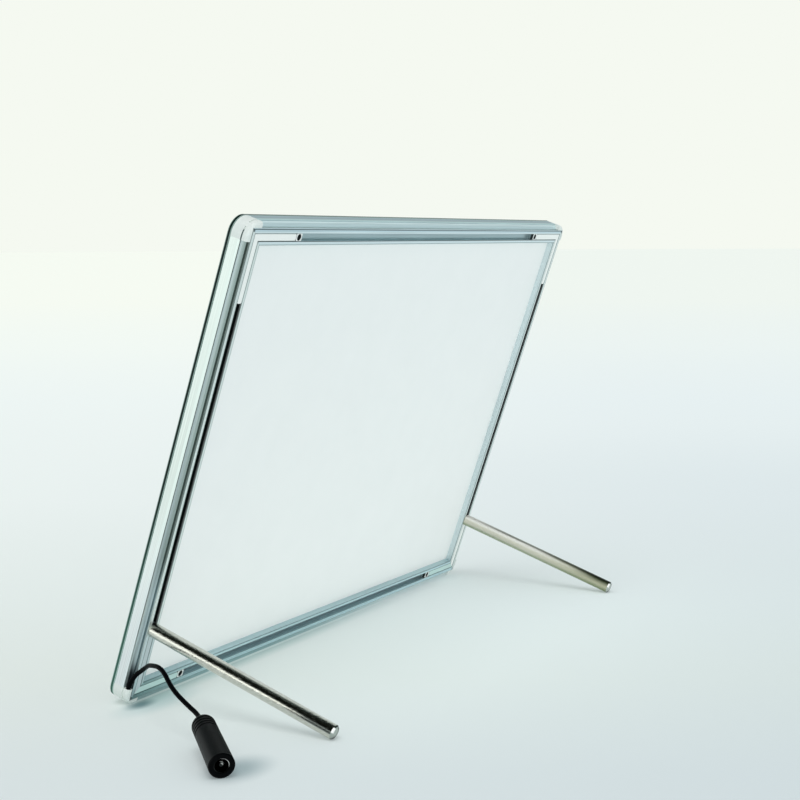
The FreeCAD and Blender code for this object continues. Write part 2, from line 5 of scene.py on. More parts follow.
import bmesh
import bpy
from mathutils import Matrix, Vector


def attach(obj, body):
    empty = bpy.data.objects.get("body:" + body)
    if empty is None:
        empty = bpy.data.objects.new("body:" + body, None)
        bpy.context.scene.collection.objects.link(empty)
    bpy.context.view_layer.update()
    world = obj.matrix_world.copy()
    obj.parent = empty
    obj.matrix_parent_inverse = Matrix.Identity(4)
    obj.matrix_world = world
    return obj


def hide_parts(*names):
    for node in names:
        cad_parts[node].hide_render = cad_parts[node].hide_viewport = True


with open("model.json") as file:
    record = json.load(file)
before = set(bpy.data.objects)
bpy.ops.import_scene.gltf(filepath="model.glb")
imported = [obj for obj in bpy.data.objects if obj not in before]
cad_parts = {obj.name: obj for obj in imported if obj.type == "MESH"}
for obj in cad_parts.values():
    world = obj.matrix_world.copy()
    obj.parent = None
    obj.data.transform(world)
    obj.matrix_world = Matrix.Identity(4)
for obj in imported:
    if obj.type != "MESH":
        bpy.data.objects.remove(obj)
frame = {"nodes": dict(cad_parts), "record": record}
bpy.context.view_layer.update()

MM = 0.001

# ---------------------------------------------------------------- camera
CAMERA_AT = Vector((0.6598, 0.3725, 0.2002))
CAMERA_RIGHT = Vector((-0.4955, 0.8686, -0.0047))
CAMERA_DOWN = Vector((0.1252, 0.0661, -0.9899))
CAMERA_FORWARD = Vector((-0.8596, -0.4911, -0.1416))
CAMERA_LENS = 69.18
CAMERA_SENSOR = 36.0
CAMERA_SHIFT = (0.0161, 0.0749)
CAMERA_CLIP = 0.01


def add_camera():
    data = bpy.data.cameras.new("camera")
    data.lens = CAMERA_LENS
    data.sensor_width = CAMERA_SENSOR
    data.shift_x, data.shift_y = CAMERA_SHIFT
    data.clip_start = CAMERA_CLIP
    camera = bpy.data.objects.new("camera", data)
    turn = Matrix((CAMERA_RIGHT, -CAMERA_DOWN, -CAMERA_FORWARD)).transposed()
    camera.matrix_world = Matrix.Translation(CAMERA_AT) @ turn.to_4x4()
    bpy.context.scene.collection.objects.link(camera)
    bpy.context.scene.camera = camera


add_camera()

# ---------------------------------------------------------------- supply lead
LEAD_DIAMETER = 2.0 * MM
LEAD_ROUTE_MM = (
    (154.7, -47.04, 5.22), (154.7, -44.47, 12.69), (155.6, -35.1, 19.3), (162.8, -27.5, 23.2),
    (167.7, -17.0, 24.7), (173.2, -7.6, 18.1), (176.1, 2.4, 13.6), (179.70, 10.62, 11.70),
    (184.10, 15.44, 10.74),
)


def supply_lead():
    line = bpy.data.curves.new("supply_lead", "CURVE")
    line.dimensions = "3D"
    line.bevel_depth = 1.0       # each point's radius scales it
    line.bevel_resolution = 8
    line.use_fill_caps = True
    spline = line.splines.new("NURBS")
    spline.points.add(len(LEAD_ROUTE_MM) - 1)
    for point, place in zip(spline.points, LEAD_ROUTE_MM):
        point.co = (*(Vector(place) * MM), 1.0)
        point.radius = LEAD_DIAMETER / 2
    spline.order_u = 3
    spline.use_endpoint_u = True
    spline.resolution_u = 16
    lead = bpy.data.objects.new("supply_lead", line)
    bpy.context.scene.collection.objects.link(lead)
    return lead


lead = supply_lead()
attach(lead, "frame")
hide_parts("supply_cable")


# ---------------------------------------------------------------- node helpers
def connect(tree, node, links):
    """Give inputs, by name or number, their values or the outputs that feed them."""
    for socket, value in links.items():
        if isinstance(value, bpy.types.NodeSocket):
            tree.links.new(value, node.inputs[socket])
        else:
            node.inputs[socket].default_value = value


def add(tree, kind, links=None, **settings):
    """New shader node, with its settings and its inputs."""
    made = tree.nodes.new("ShaderNode" + kind)
    for name, value in settings.items():
        setattr(made, name, value)
    connect(tree, made, links or {})
    return made


def maths(tree, operation, *values):
    return add(tree, "Math", dict(enumerate(values)), operation=operation).outputs[0]


def vector_maths(tree, operation, *values):
    """Result of a vector operation: a value for a dot product or a length, else a vector."""
    outputs = add(tree, "VectorMath", dict(enumerate(values)), operation=operation).outputs
    return outputs["Value" if operation in ("DOT_PRODUCT", "LENGTH") else "Vector"]


def inverse(tree, mask):
    return maths(tree, "SUBTRACT", 1.0, mask)


def product(tree, *values):
    result = values[0]
    for value in values[1:]:
        result = maths(tree, "MULTIPLY", result, value)
    return result


def weighted(tree, first, first_weight, second, second_weight):
    return maths(tree, "ADD", maths(tree, "MULTIPLY", first, first_weight),
                 maths(tree, "MULTIPLY", second, second_weight))


def rise(tree, value, low, high):
    """0 below low, 1 above high, and a smooth step between them. High may be the smaller one."""
    made = add(tree, "MapRange", {"Value": value, "From Min": low, "From Max": high},
               interpolation_type="SMOOTHSTEP")
    return made.outputs["Result"]


def within(tree, value, low, high, soft):
    """1 between low and high, fading over soft at either end."""
    start = rise(tree, value, low - soft, low + soft)
    stop = rise(tree, value, high - soft, high + soft)
    return maths(tree, "SUBTRACT", start, stop)


def region(tree, place, *limits):
    """Mask that is 1 where all limits hold.

    A limit is the name of a mask in place, or a measure's name with the numbers for rise or for within.
    """
    masks = []
    for limit in limits:
        if isinstance(limit, str):
            masks.append(place[limit])
            continue
        name, *numbers = limit
        fade = within if len(numbers) == 3 else rise
        masks.append(fade(tree, place[name], *numbers))
    return product(tree, *masks)


def mixed(tree, mask, below, above):
    """Colour below where the mask is 0 and above where it is 1."""
    below, above = (value if isinstance(value, bpy.types.NodeSocket) else (*value, 1)
                    for value in (below, above))
    return add(tree, "Mix", {0: mask, 6: below, 7: above}, data_type="RGBA").outputs[2]


def times(tree, color, shade):
    both = add(tree, "Mix", {0: 1.0, 6: color, 7: shade}, data_type="RGBA", blend_type="MULTIPLY")
    return both.outputs[2]


def shaded(tree, tone, mask, shade):
    """Tone, multiplied by shade where the mask is 1."""
    return times(tree, tone, mixed(tree, mask, (1.0, 1.0, 1.0), shade))


def all_shaded(tree, tone, place, shades):
    """Tone, multiplied by each shade where its limits hold."""
    for shade, limits in shades:
        tone = shaded(tree, tone, region(tree, place, *limits), shade)
    return tone


def ramp(tree, value, low, high, tones):
    """Colours at their places along value, from low to high."""
    spot = add(tree, "MapRange", {"Value": value, "From Min": low, "From Max": high}).outputs["Result"]
    made = add(tree, "ValToRGB", {0: spot})
    steps = made.color_ramp.elements
    steps[0].color, steps[1].color = (*tones[0][1], 1), (*tones[-1][1], 1)
    for place, color in tones:
        steps.new((place - low) / (high - low)).color = (*color, 1)
    return made.outputs[0]


def new_group(name, inputs, outputs):
    tree = bpy.data.node_groups.new(name, "ShaderNodeTree")
    for socket, kind in inputs:
        tree.interface.new_socket(socket, in_out="INPUT", socket_type="NodeSocket" + kind)
    for socket, kind in outputs:
        tree.interface.new_socket(socket, in_out="OUTPUT", socket_type="NodeSocket" + kind)
    return tree, tree.nodes.new("NodeGroupInput"), tree.nodes.new("NodeGroupOutput")


def use(tree, group, links=None):
    made = tree.nodes.new("ShaderNodeGroup")
    made.node_tree = group
    connect(tree, made, links or {})
    return made.outputs


def finish(name, rough=0.5, metal=0.0, **sockets):
    """New material with one principled shader, its tree and that shader."""
    made = bpy.data.materials.new(name)
    made.use_nodes = True
    shader = made.node_tree.nodes["Principled BSDF"]
    shader.inputs["Roughness"].default_value = rough
    shader.inputs["Metallic"].default_value = metal
    for socket, value in sockets.items():
        shader.inputs[socket.replace("_", " ")].default_value = value
    return made, made.node_tree, shader


def mix_at_output(tree, mask, below, above):
    """Show shader below where the mask is 0 and above where it is 1."""
    seen = add(tree, "MixShader", {0: mask, 1: below.outputs[0], 2: above.outputs[0]})
    connect(tree, tree.nodes["Material Output"], {"Surface": seen.outputs[0]})


# ---------------------------------------------------------------- shared effects
LEAN = math.radians(18.961)
PANEL_W, PANEL_H = 312.0, 220.0
PANEL_Y, PANEL_Z = -47.5976, -0.4060     # where the panel's own origin stands
PLACE_NAMES = ("Inwards", "Depth", "Height", "Across", "Long side", "Short side", "From corner")
RUN_STRETCH = 0.004                      # how much slower the extrusion lines change along a rail
BUMP_HEIGHT = 0.0001


def panel_place():
    """Place on the leaning panel in mm: inwards from its edge, depth from its back, and height."""
    tree, _, out = new_group("panel place", (), [(name, "Float") for name in PLACE_NAMES])
    where = add(tree, "TexCoord").outputs["Object"]
    sine, cosine = math.sin(LEAN), math.cos(LEAN)

    def along(direction, start):
        distance = vector_maths(tree, "DOT_PRODUCT", where, Vector(direction) / MM)
        return maths(tree, "SUBTRACT", distance, start)

    depth = along((0, cosine, -sine), PANEL_Y * cosine - PANEL_Z * sine)
    height = along((0, sine, cosine), PANEL_Y * sine + PANEL_Z * cosine)
    across = along((1, 0, 0), 0)
    side = maths(tree, "SUBTRACT", PANEL_W / 2, maths(tree, "ABSOLUTE", across))
    ends = maths(tree, "MINIMUM", height, maths(tree, "SUBTRACT", PANEL_H, height))
    long_side = maths(tree, "LESS_THAN", ends, side)
    measures = (maths(tree, "MINIMUM", side, ends), depth, height, across, long_side,
                inverse(tree, long_side), maths(tree, "MAXIMUM", side, ends))
    connect(tree, out, dict(zip(PLACE_NAMES, measures)))
    return tree


def with_bump(tree, source, out, tone):
    """Send a tone out of a group, and the normal that it gives as a fine bump."""
    bump = add(tree, "Bump", {"Strength": source.outputs["Strength"], "Distance": BUMP_HEIGHT,
                              "Height": tone})
    connect(tree, out, {"Tone": tone, "Normal": bump.outputs[0]})
    return tree


def extrusion_lines(place_group):
    """Fine lines that run along each rail: a tone and a normal."""
    tree, source, out = new_group("extrusion lines", (("Strength", "Float"),),
                                  (("Tone", "Float"), ("Normal", "Vector")))
    place = use(tree, place_group)
    run = maths(tree, "MULTIPLY", maths(tree, "ADD", place["Height"], place["Across"]), RUN_STRETCH)
    where = add(tree, "CombineXYZ", {0: place["Inwards"], 1: place["Depth"], 2: run}).outputs[0]
    lines = add(tree, "TexNoise", {"Vector": where, "Scale": 3.2, "Detail": 3.0, "Roughness": 0.6})
    return with_bump(tree, source, out, lines.outputs[0])


def surface_grain():
    """Irregular fine grain: a tone and a normal."""
    tree, source, out = new_group("surface grain", (("Scale", "Float"), ("Strength", "Float")),
                                  (("Tone", "Float"), ("Normal", "Vector")))
    where = add(tree, "TexCoord").outputs["Object"]
    grain = add(tree, "TexNoise", {"Vector": where, "Scale": source.outputs["Scale"], "Detail": 4.0,
                                   "Roughness": 0.55})
    return with_bump(tree, source, out, grain.outputs[0])


PLACE = panel_place()
LINES = extrusion_lines(PLACE)
GRAIN = surface_grain()


def grained(name, dark, light, rough, scale, strength, metal=0.0, **sockets):
    """Material whose colour wanders between two tones and whose surface has a fine grain."""
    made, tree, shader = finish(name, rough, metal, **sockets)
    grain = use(tree, GRAIN, {"Scale": scale, "Strength": strength})
    connect(tree, shader, {"Base Color": mixed(tree, grain["Tone"], dark, light), "Normal": grain["Normal"]})
    return made


# ---------------------------------------------------------------- rails
# limits on the panel, in mm
BACK = ("Depth", -0.4, -0.2)
UPPER, LOWER = ("Height", 100.0, 110.0), ("Height", 110.0, 100.0)
BESIDE_LEAD = ("Height", 38.0, 33.0)
LEAD_SIDE = ("Short side", ("Across", 0.0, 10.0))
TOP_RAIL_BACK = ("Long side", UPPER, BACK)

# tones of a rail's zones on the short and on the long sides: painted light and shade, as lit and shaded
# copies of the aluminium, darker in the groove, undercut and slot
RAIL_PAINTED_LIGHT_ZONES = {
    "skin": ((0.64, 0.71, 0.68), (0.46, 0.57, 0.62)),
    "skin, ends": ((0.66, 0.75, 0.72), (0.72, 0.9, 0.89)),
    "cove, outer": ((0.62, 0.72, 0.73), (0.86, 0.98, 1.0)),
    "cove, inner": ((0.2, 0.26, 0.25), (0.74, 0.9, 0.93)),
    "groove": ((0.09, 0.12, 0.11), (0.7, 0.85, 0.87)),
    "undercut": ((0.14, 0.18, 0.165), (0.9, 1.0, 1.0)),
    "back": ((0.82, 0.9, 0.88), (0.80, 0.92, 0.95)),
    "slot, outer": ((0.03, 0.04, 0.04), (0.44, 0.57, 0.6)),
    "slot, inner": ((0.03, 0.04, 0.04), (0.66, 0.83, 0.86)),
    "inside": ((0.73, 0.83, 0.85), (0.66, 0.78, 0.8)),
}
# painted light: zones that are lighter low on the short sides, about and below the legs
BELOW_LEG_PAINTED_LIGHT = {"cove, inner": (0.4, 0.5, 0.52), "undercut": (0.3, 0.4, 0.42)}
RAIL_PARTS = {
    "below leg": ("Short side", ("Height", 75.0, 50.0)),
    "skin's middle": (("Depth", -7.3, -4.4, 0.5),),
    "cove": (("Inwards", 0.14, 2.69, 0.01), ("Depth", -3.05, -3.0)),
    "cove's inner side": (("Inwards", 0.4, 2.6),),
    "flange": (("Inwards", 2.69, 2.72),),
    "inside": (("Inwards", 9.9, 9.99),),
    "slot": (("Inwards", 3.95, 9.25, 0.05), ("Depth", -0.25, -1.1)),
    "slot's inner side": (("Inwards", 6.4, 8.2),),
    "slot's inner corner": (("Inwards", 8.7, 9.0), ("Depth", -2.6, -1.7)),
    "undercut": (("Inwards", 2.72, 3.5, 0.02), ("Depth", -1.5, -0.33, 0.03)),
    "groove": (("Inwards", 0.12, 0.64, 0.02), ("Depth", -3.02, -3.1)),
    "beside lead": (*LEAD_SIDE, ("Height", 40.0, 26.0)),
    "back": (BACK,),
    "top": TOP_RAIL_BACK,
    "flange's outer edge": (("Inwards", 2.7, 2.92, 0.03),),
    "flange's inner edge": (("Inwards", 4.62, 4.92, 0.03),),
    "lip's outer edge": (("Inwards", 8.28, 8.5, 0.03),),
    "lip's inner edge": (("Inwards", 9.62, 10.02, 0.03),),
    "standing side": ("Long side", LOWER),
    "lead's corner": (("Across", 95.0, 150.0),),
}
# painted shade in the slot's inner corner
SLOT_CORNER_PAINTED_SHADE = (0.72, 0.76, 0.77)
EDGE_PAINTED_SHADE = (0.45, 0.5, 0.5)
# painted light and shade on the rails: each multiplies the tone where its limits hold
RAIL_PAINTED_SHADES = (
    # painted shade lines along the top rail's flange and lip
    ((0.1, 0.14, 0.16), (*TOP_RAIL_BACK, ("Inwards", 2.95, 3.4, 0.1))),
    ((0.8, 0.87, 0.9), (*TOP_RAIL_BACK, ("Inwards", 3.4, 4.2, 0.2))),
    ((0.08, 0.11, 0.12), (*TOP_RAIL_BACK, ("Inwards", 8.22, 8.5, 0.04))),
    # painted shade on the flange's edge on the short sides, above the legs
    ((0.3, 0.33, 0.33), ("Short side", ("Height", 50.0, 75.0), ("Inwards", 2.62, 3.08, 0.05),
                         ("Depth", -0.45, -0.35))),
    # painted light and shade at the foot of the rail beside the supply lead: shade on its back, light on its
    # outer side and dark shade in its cove
    ((0.82, 0.87, 0.92), (*LEAD_SIDE, BESIDE_LEAD, ("Inwards", 2.72, 2.8), BACK)),
    ((1.38, 1.3, 1.38), (*LEAD_SIDE, ("Height", 110.0, 20.0), ("Inwards", 0.16, 0.1))),
    ((0.06, 0.07, 0.08), (*LEAD_SIDE, ("Height", 24.0, 15.0), ("Inwards", 1.45, 3.0, 0.25))),
)
# painted shade on the side that stands on the floor, away from the lead's corner and at it
STANDING_OUTSIDE_PAINTED_SHADE = ((0.86, 0.97, 1.0), (0.44, 0.54, 0.53))
STANDING_INSIDE_PAINTED_SHADE = ((0.8, 0.9, 0.92), (0.6, 0.72, 0.74))
STREAK_BETWEEN = (0.3, 0.7)
STREAK_SHADE = (0.8, 0.8, 0.8)


def rail_finish():
    """Satin aluminium with painted light and shade: lit and shaded tones per side, painted shade in the rear
    slot, the flange's undercut and the shadow groove, and along edges.
    """
    made, tree, shader = finish("satin_aluminium", 0.3, 0.75)
    place = use(tree, PLACE)
    lines = use(tree, LINES, {"Strength": 0.12})
    zone = {name: mixed(tree, place["Long side"], *tones) for name, tones in RAIL_PAINTED_LIGHT_ZONES.items()}
    part = {name: region(tree, place, *limits) for name, limits in RAIL_PARTS.items()}
    for name, tone in BELOW_LEG_PAINTED_LIGHT.items():
        zone[name] = mixed(tree, part["below leg"], zone[name], tone)

    # painted light and shade: the cove and the slot change tone across their width, and the slot's inner
    # corner is darkened
    cove = mixed(tree, part["cove's inner side"], zone["cove, outer"], zone["cove, inner"])
    slot = mixed(tree, part["slot's inner side"], zone["slot, outer"], zone["slot, inner"])
    slot = shaded(tree, slot, part["slot's inner corner"], SLOT_CORNER_PAINTED_SHADE)
    tone = mixed(tree, part["skin's middle"], zone["skin, ends"], zone["skin"])
    for name, color in (("cove", cove), ("flange", zone["back"]), ("inside", zone["inside"]), ("slot", slot),
                        ("undercut", zone["undercut"])):
        tone = mixed(tree, part[name], tone, color)
    # painted shade in the shadow groove, except beside the lead
    groove = product(tree, part["groove"], inverse(tree, part["beside lead"]))
    tone = mixed(tree, groove, tone, zone["groove"])

    # painted shade lines along the flange's and the lip's edges; the top rail's flange has painted lines of
    # its own, so only its lip is shaded here
    edges = maths(tree, "MAXIMUM", part["flange's outer edge"], part["flange's inner edge"])
    edges = product(tree, edges, inverse(tree, part["top"]))
    for name in ("lip's outer edge", "lip's inner edge"):
        edges = maths(tree, "MAXIMUM", edges, part[name])
    tone = shaded(tree, tone, product(tree, edges, part["back"]), EDGE_PAINTED_SHADE)
    tone = all_shaded(tree, tone, place, RAIL_PAINTED_SHADES)

    # painted shade on the side that stands on the floor, darker at the lead's corner
    shade = mixed(tree, part["inside"], mixed(tree, part["lead's corner"], *STANDING_OUTSIDE_PAINTED_SHADE),
                  mixed(tree, part["lead's corner"], *STANDING_INSIDE_PAINTED_SHADE))
    tone = shaded(tree, tone, product(tree, part["standing side"], inverse(tree, part["slot"])), shade)
    streaks = mixed(tree, rise(tree, lines["Tone"], *STREAK_BETWEEN), STREAK_SHADE, (1.0, 1.0, 1.0))
    connect(tree, shader, {"Base Color": times(tree, tone, streaks), "Normal": lines["Normal"]})
    return made


# ---------------------------------------------------------------- caps, keys and nuts
CAP_TONES = ((0.72, 0.78, 0.75), (0.8, 0.85, 0.82))
KEY_TONES = ((0.88, 0.92, 0.89), (0.95, 0.97, 0.95))
KEY_FROM = ("Inwards", 3.0, 4.0)
# painted shade in the upper caps' groove on the short sides
CAP_GROOVE = (("Depth", -3.17, -2.53, 0.02), ("From corner", 3.8, 4.6), "Short side", UPPER)
CAP_GROOVE_PAINTED_SHADE = (0.16, 0.21, 0.2)
# painted shade in the gaps beside a key
BESIDE_KEY = (("Inwards", 4.95, 5.22, 0.03), ("Inwards", 7.98, 8.25, 0.03))
BESIDE_KEY_PAINTED_SHADE = (0.3, 0.36, 0.35)
# painted shade on the keys low on the standing side and beside the lead
KEY_PAINTED_SHADES = (
    ((0.6, 0.79, 0.78), ("Long side", LOWER, ("Inwards", 3.9, 4.1))),
    ((0.54, 0.62, 0.66), (*LEAD_SIDE, BESIDE_LEAD, ("Inwards", 3.9, 4.1))),
)
NUT_TONES = ((0.86, 0.9, 0.88), (0.96, 0.98, 0.97))
# painted shade on the nuts' sides and in their thread, darkest deepest down
NUT_SIDE_PAINTED_SHADE = ((0.3, 0.38, 0.4), (0.02, 0.025, 0.025))
NUT_TOP, NUT_SIDE = ("Depth", -0.35, -0.22), ("Depth", -2.2, -1.2)


def white_finish():
    """Moulded white: caps a little greyer than the keys, with painted shade in a cap's groove, beside a key,
    and on the keys low down and beside the lead.
    """
    made, tree, shader = finish("white_plastic", 0.34)
    place = use(tree, PLACE)
    grain = use(tree, GRAIN, {"Scale": 900.0, "Strength": 0.05})
    cap, key = (mixed(tree, grain["Tone"], *tones) for tones in (CAP_TONES, KEY_TONES))
    white = mixed(tree, region(tree, place, KEY_FROM), cap, key)
    white = mixed(tree, region(tree, place, *CAP_GROOVE), white, CAP_GROOVE_PAINTED_SHADE)
    for band in BESIDE_KEY:
        white = mixed(tree, region(tree, place, band), white, BESIDE_KEY_PAINTED_SHADE)
    white = all_shaded(tree, white, place, KEY_PAINTED_SHADES)
    connect(tree, shader, {"Base Color": white, "Normal": grain["Normal"]})
    return made


def nut_finish():
    """Bright top faces, with painted shade on the sides and in the thread, darkest deep down."""
    made, tree, shader = finish("nut_steel", 0.3, 0.2)
    place = use(tree, PLACE)
    grain = use(tree, GRAIN, {"Scale": 2500.0, "Strength": 0.15})
    top = mixed(tree, grain["Tone"], *NUT_TONES)
    side = mixed(tree, region(tree, place, NUT_SIDE), *NUT_SIDE_PAINTED_SHADE)
    steel = mixed(tree, region(tree, place, NUT_TOP), side, top)
    connect(tree, shader, {"Base Color": steel, "Normal": grain["Normal"]})
    return made


# ---------------------------------------------------------------- clear front
CORNER_R = 7.0
CUT_EDGE = (0.36, 0.4)                   # how far in from the outline the cut edge is seen
EDGE_CORE = ("Depth", -9.55, -8.5, 0.12)
EDGE_LOW = ("Height", 110.0, 10.0)
# painted highlights on the cut edge's rims, and painted light low down on the edge
RIM_PAINTED_HIGHLIGHTS = ((0.3, 0.42, 0.38), (0.42, 0.6, 0.55))
CORE_TONE, LOW_CORE_PAINTED_LIGHT = (0.004, 0.014, 0.011), (0.05, 0.13, 0.1)
SHEET_TONE = (0.97, 1.0, 0.99)
SHEET_PASSES = (0.93, 0.97, 0.96, 1)     # what a shadow ray keeps through the sheet
SHINE, EDGE_SHINE_LESS = 0.5, 0.42


def front_finish():
    """Clear acrylic whose cut edge is deep green, with paler rims as painted highlights and painted light
    low down.
    """
    made, tree, shader = finish("front_acrylic", 0.04, IOR=1.49)
    place = use(tree, PLACE)
    in_corner = [maths(tree, "MAXIMUM", maths(tree, "SUBTRACT", CORNER_R, place[name]), 0.0)
                 for name in ("Inwards", "From corner")]
    squares = [maths(tree, "MULTIPLY", value, value) for value in in_corner]
    rounded = maths(tree, "SUBTRACT", CORNER_R, maths(tree, "SQRT", maths(tree, "ADD", *squares)))
    edge = inverse(tree, rise(tree, rounded, *CUT_EDGE))
    core, low = region(tree, place, EDGE_CORE), region(tree, place, EDGE_LOW)
    rim = mixed(tree, core, mixed(tree, low, *RIM_PAINTED_HIGHLIGHTS), CORE_TONE)
    rim = mixed(tree, product(tree, core, low), rim, LOW_CORE_PAINTED_LIGHT)
    connect(tree, shader, {
        "Base Color": mixed(tree, edge, SHEET_TONE, rim),
        "Transmission Weight": inverse(tree, edge),
        "Specular IOR Level": maths(tree, "SUBTRACT", SHINE, maths(tree, "MULTIPLY", edge, EDGE_SHINE_LESS)),
    })
    clear = add(tree, "BsdfTransparent", {"Color": SHEET_PASSES})
    mix_at_output(tree, add(tree, "LightPath").outputs["Is Shadow Ray"], shader, clear)
    return made


# ---------------------------------------------------------------- rods
ROD_X, ROD_HEIGHT = 149.4, 36.8
# directions up across the near and the far rod's open side, and out of a rod's end
NEAR_UP, FAR_UP = (-0.494, 0.2825, 0.8223), (-0.337, 0.3057, 0.8899)
ROD_AXIS = (0.0, 0.9457, -0.3249)
PIT_STRETCH = (1300.0, 420.0, 1300.0)
PIT_HEIGHT = 0.00012
PIT_BETWEEN = (0.35, 0.7)
FAR_ROD = ("Across", -10.0, -20.0)
NEAR_TONES = ((0.58, 0.575, 0.51), (0.7, 0.695, 0.64))
# painted reflections: dark bands along the near rod's open side, widening towards its tip
NEAR_PAINTED_REFLECTIONS = (
    ((0.32, 0.34, 0.33), (("Up", 0.38, 0.66, 0.06), ("Depth", 15.0, 45.0))),
    ((0.32, 0.34, 0.33), (("Up", -0.12, 0.2, 0.06), ("Depth", 35.0, 65.0))),
    ((0.22, 0.24, 0.25), (("Up", -0.5, 0.0, 0.06), ("Depth", 74.0, 86.0))),
)
# painted reflections on the far rod: olive underside, pale top as painted highlight, dark lines along the
# top and a darker tip
FAR_PAINTED_TONES = ((0.36, 0.4, 0.27), (0.62, 0.6, 0.5))
FAR_TONES_BETWEEN = (-0.85, -0.4)
FAR_PAINTED_HIGHLIGHT, FAR_PAINTED_HIGHLIGHT_BETWEEN = (0.88, 0.86, 0.8), (-0.1, 0.4)
FAR_PAINTED_REFLECTIONS = (
    ((0.35, 0.37, 0.34), (("Up", 0.5, 0.8), ("Depth", 0.0, 30.0))),
    ((0.4, 0.42, 0.36), (("Up", 0.3, 0.65), ("Depth", 45.0, 70.0))),
    ((0.72, 0.74, 0.62), (("Depth", 40.0, 90.0),)),
    ((0.12, 0.15, 0.09), (("Up", -0.4, 0.6), ("Depth", 66.0, 90.0))),
)
FACES_OUT = (0.4, 0.6)                   # how squarely a face looks out of the rod's end
OPEN_WEIGHTS = (0.87, 0.49)              # direction on the end towards the open side, across and up
# the rod's end: painted shade on its far rim and chamfer, and a painted highlight spot
ROD_END = {
    "far rim": ("End", ("Out", 0.6, -0.4), ("Off axis", 1.95, 2.2)),
    "chamfer": ("End", ("Off axis", 2.6, 2.7)),
    "open side": (("Out", 0.2, 0.8), ("Up", 1.9, 1.5)),
    "spot": ("End", ("Out", 1.3, 1.7), ("Up", -0.7, 1.5, 0.2)),
}
END_PAINTED_TONE, ROD_RIM_PAINTED_SHADE, PAINTED_HIGHLIGHT_TONE = (0.46, 0.5, 0.46), (0.03, 0.04, 0.035), (1.0, 1.0, 0.98)
# so that the far rod's painted reflections and the end's painted highlight show as colour
FAR_PAINTED_SHARE = 0.6                          # share of the far rod's plating that is not metallic
ROD_ROUGH, FAR_ROUGHER = 0.06, 0.25


def rod_finish():
    """Bright plating, slightly uneven along the rod, with painted reflections: dark bands on the near rod, a
    pale top and olive underside on the duller far one, and a painted dark rim and highlight at the end.
    """
    made, tree, shader = finish("rod_chrome")
    where = add(tree, "TexCoord").outputs["Object"]
    stretch = add(tree, "Mapping", {"Vector": where, "Scale": PIT_STRETCH}).outputs[0]
    pits = add(tree, "TexNoise", {"Vector": stretch, "Scale": 1.0, "Detail": 4.0,
                                  "Roughness": 0.7}).outputs[0]
    bump = add(tree, "Bump", {"Strength": 1.0, "Distance": PIT_HEIGHT, "Height": pits})
    normal = add(tree, "NewGeometry").outputs["Normal"]
    near_up, far_up, end = (vector_maths(tree, "DOT_PRODUCT", normal, direction)
                            for direction in (NEAR_UP, FAR_UP, ROD_AXIS))
    place = use(tree, PLACE)
    far = region(tree, place, FAR_ROD)

    near = mixed(tree, rise(tree, pits, *PIT_BETWEEN), *NEAR_TONES)
    near = all_shaded(tree, near, {"Up": near_up, "Depth": place["Depth"]}, NEAR_PAINTED_REFLECTIONS)
    far_painted = mixed(tree, rise(tree, far_up, *FAR_TONES_BETWEEN), *FAR_PAINTED_TONES)
    far_painted = mixed(tree, rise(tree, far_up, *FAR_PAINTED_HIGHLIGHT_BETWEEN), far_painted, FAR_PAINTED_HIGHLIGHT)
    far_painted = all_shaded(tree, far_painted, {"Up": far_up, "Depth": place["Depth"]}, FAR_PAINTED_REFLECTIONS)
    plating_and_painted_light = mixed(tree, far, near, far_painted)

    # the end: painted shade on the chamfer and far rim, a pale face in a painted tone, and a painted
    # highlight spot towards the open side
    middle = maths(tree, "MULTIPLY", maths(tree, "SIGN", place["Across"]), ROD_X)
    aside = maths(tree, "SUBTRACT", place["Across"], middle)
    up = maths(tree, "SUBTRACT", place["Height"], ROD_HEIGHT)
    across_weight, up_weight = OPEN_WEIGHTS
    spread = maths(tree, "ADD", product(tree, up, up), product(tree, aside, aside))
    on_end = {
        "End": rise(tree, end, *FACES_OUT),
        "Out": weighted(tree, aside, across_weight, up, up_weight),
        "Up": weighted(tree, up, across_weight, aside, -up_weight),
        "Off axis": maths(tree, "SQRT", spread),
    }
    part = {name: region(tree, on_end, *limits) for name, limits in ROD_END.items()}
    chamfer = product(tree, part["chamfer"], inverse(tree, part["open side"]))
    plating_and_painted_light = mixed(tree, on_end["End"], plating_and_painted_light, END_PAINTED_TONE)
    plating_and_painted_light = mixed(tree, maths(tree, "MAXIMUM", part["far rim"], chamfer), plating_and_painted_light, ROD_RIM_PAINTED_SHADE)
    plating_and_painted_light = mixed(tree, part["spot"], plating_and_painted_light, PAINTED_HIGHLIGHT_TONE)
    painted_share = maths(tree, "MAXIMUM", maths(tree, "MULTIPLY", far, FAR_PAINTED_SHARE), part["spot"])
    connect(tree, shader, {
        "Base Color": plating_and_painted_light,
        "Metallic": inverse(tree, painted_share),
        "Roughness": maths(tree, "ADD", maths(tree, "MULTIPLY", far, FAR_ROUGHER), ROD_ROUGH),
        "Normal": bump.outputs[0],
    })
    return made


# ---------------------------------------------------------------- socket
SCENE_RIGHT = (-0.4955, 0.8686, 0.0)
# painted sheen: the socket's shine falls off between these
SOCKET_TURN = (-0.2, 0.5)                # between these the socket's shine falls
SOCKET_PAINTED_SHEEN = (0.06, 0.01)
MOUTH_UP = (-0.347, 0.608, 0.7)          # up and away across the socket's mouth
MOUTH_AT = Vector((209.25, 42.94, 5.2))
MOUTH_AXIS = Vector((0.67, 0.72, -0.17)).normalized()
PIN_WITHIN = (1.5, 1.3)
